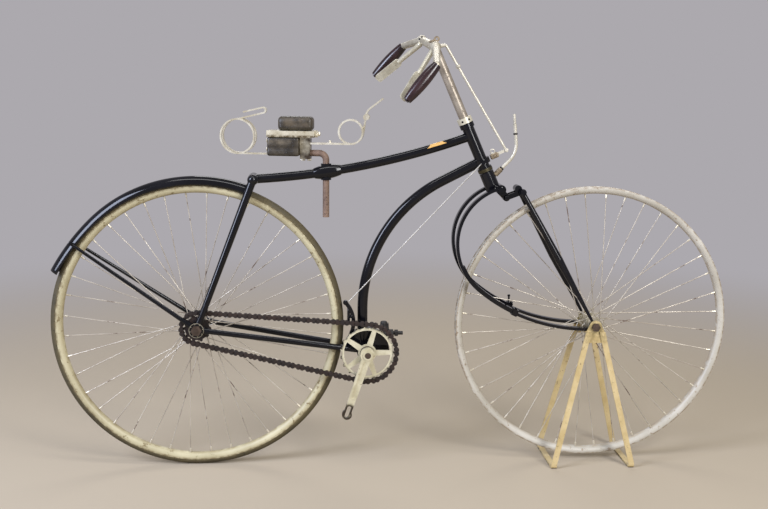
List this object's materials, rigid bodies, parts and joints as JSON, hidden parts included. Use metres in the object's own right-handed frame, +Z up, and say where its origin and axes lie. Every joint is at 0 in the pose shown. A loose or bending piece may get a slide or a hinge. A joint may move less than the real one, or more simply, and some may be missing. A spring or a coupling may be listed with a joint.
{
  "type": "safety bicycle with a spring fork, on a wheel stand",
  "caption": "Antique safety bicycle with a J-spring fork, curved black frame, block chain and worn nickel, its bare front rim held by a cream strap stand.",
  "frame": {"origin": "on the floor, on the mid-plane, midway between the back of the rear tyre and the front of the front rim", "axes": "+X forward along the wheels' line, +Y to the rider's left, +Z up"},
  "size_m": [1.7949, 0.4476, 1.1376],
  "materials": {
    "black_enamel": "gloss",
    "dull_nickel": "satin",
    "rusty_steel": "matte",
    "aged_cream_rim": "satin",
    "tyre_rubber": "matte",
    "old_leather": "matte",
    "stand_paint": "satin"
  },
  "bodies": {
    "fork": {"fork_crown": "black_enamel", "fork_link": "black_enamel", "spring_blade_right": "black_enamel", "spring_blade_left": "black_enamel", "spring_leaves": "black_enamel", "front_legs": "black_enamel", "head_clamp_ring": "dull_nickel", "stem": "dull_nickel", "handlebar": "dull_nickel", "grips": "old_leather", "brake_levers": "dull_nickel", "brake_rod": "dull_nickel", "lamp_bracket": "dull_nickel", "front_axle": "rusty_steel", "stand_strap_front": "stand_paint", "stand_strap_rear": "stand_paint", "stand_plates": "stand_paint"},
    "front_wheel": {"front_rim": "aged_cream_rim", "front_hub": "dull_nickel"},
    "frame": {"head_tube": "black_enamel", "backbone_tube": "black_enamel", "seat_lug": "black_enamel", "down_tube": "black_enamel", "bottom_bracket": "black_enamel", "chain_adjuster": "dull_nickel", "chain_stays": "black_enamel", "seat_stays": "black_enamel", "rear_fork_ends": "black_enamel", "rear_axle": "rusty_steel", "mudguard": "black_enamel", "mudguard_stays": "black_enamel", "brake_collar": "dull_nickel", "brake_wire": "rusty_steel", "rear_brake_lever": "black_enamel", "chain": "rusty_steel", "seat_pillar": "rusty_steel", "saddle_clamp": "dull_nickel", "saddle_pads": "old_leather", "saddle_rear_spring": "dull_nickel", "saddle_front_spring": "dull_nickel"},
    "rear_wheel": {"rear_rim": "aged_cream_rim", "rear_tyre": "tyre_rubber", "rear_hub": "dull_nickel", "rear_sprocket": "dull_nickel"},
    "crank": {"chainwheel": "dull_nickel", "crank_right": "dull_nickel", "crank_spindle": "dull_nickel"}
  },
  "joints": [
    {"name": "steering", "type": "hinge", "parent": "fork", "child": "frame", "pos_m": [0.2105, 0, 0.8435], "axis": [-0.4067, 0, 0.9135], "range_deg": [-40, 40]},
    {"name": "front_wheel_spin", "type": "hinge", "parent": "fork", "child": "front_wheel", "pos_m": [0.5305, 0, 0.381], "axis": [0, 1, 0], "continuous": true},
    {"name": "rear_wheel_spin", "type": "hinge", "parent": "frame", "child": "rear_wheel", "pos_m": [-0.5165, 0, 0.381], "axis": [0, 1, 0], "continuous": true},
    {"name": "crank_spin", "type": "hinge", "parent": "frame", "child": "crank", "pos_m": [-0.07422, 0, 0.311], "axis": [0, 1, 0], "continuous": true}
  ],
  "couplings": [
    {"joint": "crank_spin", "follows": "rear_wheel_spin", "ratio": 0.52632}
  ]
}
